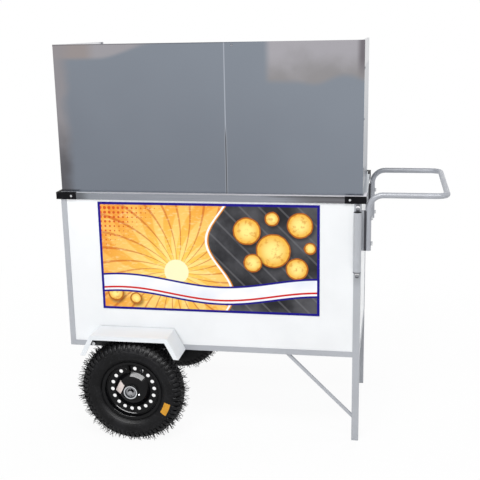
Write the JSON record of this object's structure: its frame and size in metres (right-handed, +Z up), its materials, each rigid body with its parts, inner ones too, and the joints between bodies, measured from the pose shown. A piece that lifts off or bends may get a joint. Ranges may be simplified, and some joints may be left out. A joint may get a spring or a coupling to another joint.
{
  "type": "french fry cart",
  "caption": "Steel street-food cart on wheels and legs with gas fryers, a hinged rear door, a tall stainless wind guard round the worktop, a picture sign and a push handle.",
  "frame": {"origin": "on the floor, below the middle of the whole cart's bounding box", "axes": "+Z up, +X towards the push handle, -Y towards the customers' side with the sign"},
  "size_m": [1.4002, 0.788, 1.433],
  "materials": {
    "painted_frame": "light grey gloss paint",
    "white_panel": "white satin paint",
    "stainless": "satin stainless sheet",
    "zinc": "bright zinc plate",
    "black_plastic": "matt black",
    "grey_plastic": "matt grey",
    "sign_print": "satin print",
    "tyre": "matt black rubber",
    "black_rim": "gloss black paint",
    "valve_rubber": "matt black rubber",
    "brass": "plain brass",
    "burner_iron": "sooty black"
  },
  "bodies": {
    "cart": {"front_left_upright": "painted_frame", "rear_left_upright": "painted_frame", "front_right_leg": "painted_frame", "rear_right_leg": "painted_frame", "leg_feet": "grey_plastic", "bottom_rails": "painted_frame", "top_rails": "painted_frame", "rear_mullion": "painted_frame", "leg_braces": "painted_frame", "cabinet_floor": "stainless", "front_panel": "white_panel", "left_panel": "white_panel", "right_panel": "white_panel", "rear_panel": "white_panel", "sign_panel": "sign_print", "worktop": "stainless", "corner_caps": "black_plastic", "corner_cap_rivets": "zinc", "guard_left_sheet": "stainless", "guard_right_sheet": "stainless", "guard_left_wing": "stainless", "guard_right_wing": "stainless", "guard_rivets": "zinc", "push_handle": "painted_frame", "handle_packing": "black_plastic", "handle_bolts": "zinc", "pole_socket": "painted_frame", "pole_socket_bolts": "zinc", "front_fender": "white_panel", "rear_fender": "white_panel", "fender_bolts": "zinc", "axle": "zinc", "axle_hangers": "painted_frame", "axle_fittings": "zinc", "left_fryer_tank": "stainless", "right_fryer_tank": "stainless", "fry_bin": "stainless", "burners": "burner_iron", "gas_valves": "brass", "gas_manifold": "brass", "hinge_fixed_leaves": "zinc", "hinge_pins": "zinc"},
    "front_wheel": {"front_tyre": "tyre", "front_rim": "black_rim", "front_hub": "zinc", "front_bearings": "zinc", "front_tyre_valve": "valve_rubber"},
    "rear_wheel": {"rear_tyre": "tyre", "rear_rim": "black_rim", "rear_hub": "zinc", "rear_bearings": "zinc", "rear_tyre_valve": "valve_rubber"},
    "door": {"rear_door": "white_panel", "hinge_door_leaves": "zinc", "door_handle": "stainless"},
    "left_basket": {"left_fry_basket": "stainless"},
    "right_basket": {"right_fry_basket": "stainless"},
    "left_knob": {"left_gas_knob": "black_plastic"},
    "right_knob": {"right_gas_knob": "black_plastic"}
  },
  "joints": [
    {"name": "front_wheel_spin", "type": "hinge", "parent": "cart", "child": "front_wheel", "pos_m": [-0.4204, -0.35, 0.192], "axis": [0, 1, 0], "continuous": true},
    {"name": "rear_wheel_spin", "type": "hinge", "parent": "cart", "child": "rear_wheel", "pos_m": [-0.4204, 0.35, 0.192], "axis": [0, 1, 0], "continuous": true},
    {"name": "door_swing", "type": "hinge", "parent": "cart", "child": "door", "pos_m": [0.3756, 0.283, 0.6145], "axis": [0, 0, -1], "range_deg": [0, 110]},
    {"name": "left_basket_lift", "type": "slide", "parent": "cart", "child": "left_basket", "axis": [0, 0, 1], "range_m": [0, 0.25]},
    {"name": "right_basket_lift", "type": "slide", "parent": "cart", "child": "right_basket", "axis": [0, 0, 1], "range_m": [0, 0.25]},
    {"name": "left_knob_turn", "type": "hinge", "parent": "cart", "child": "left_knob", "pos_m": [-0.5119, 0.277, 0.685], "axis": [0, 1, 0], "range_deg": [0, 90]},
    {"name": "right_knob_turn", "type": "hinge", "parent": "cart", "child": "right_knob", "pos_m": [-0.2659, 0.277, 0.685], "axis": [0, 1, 0], "range_deg": [0, 90]}
  ]
}
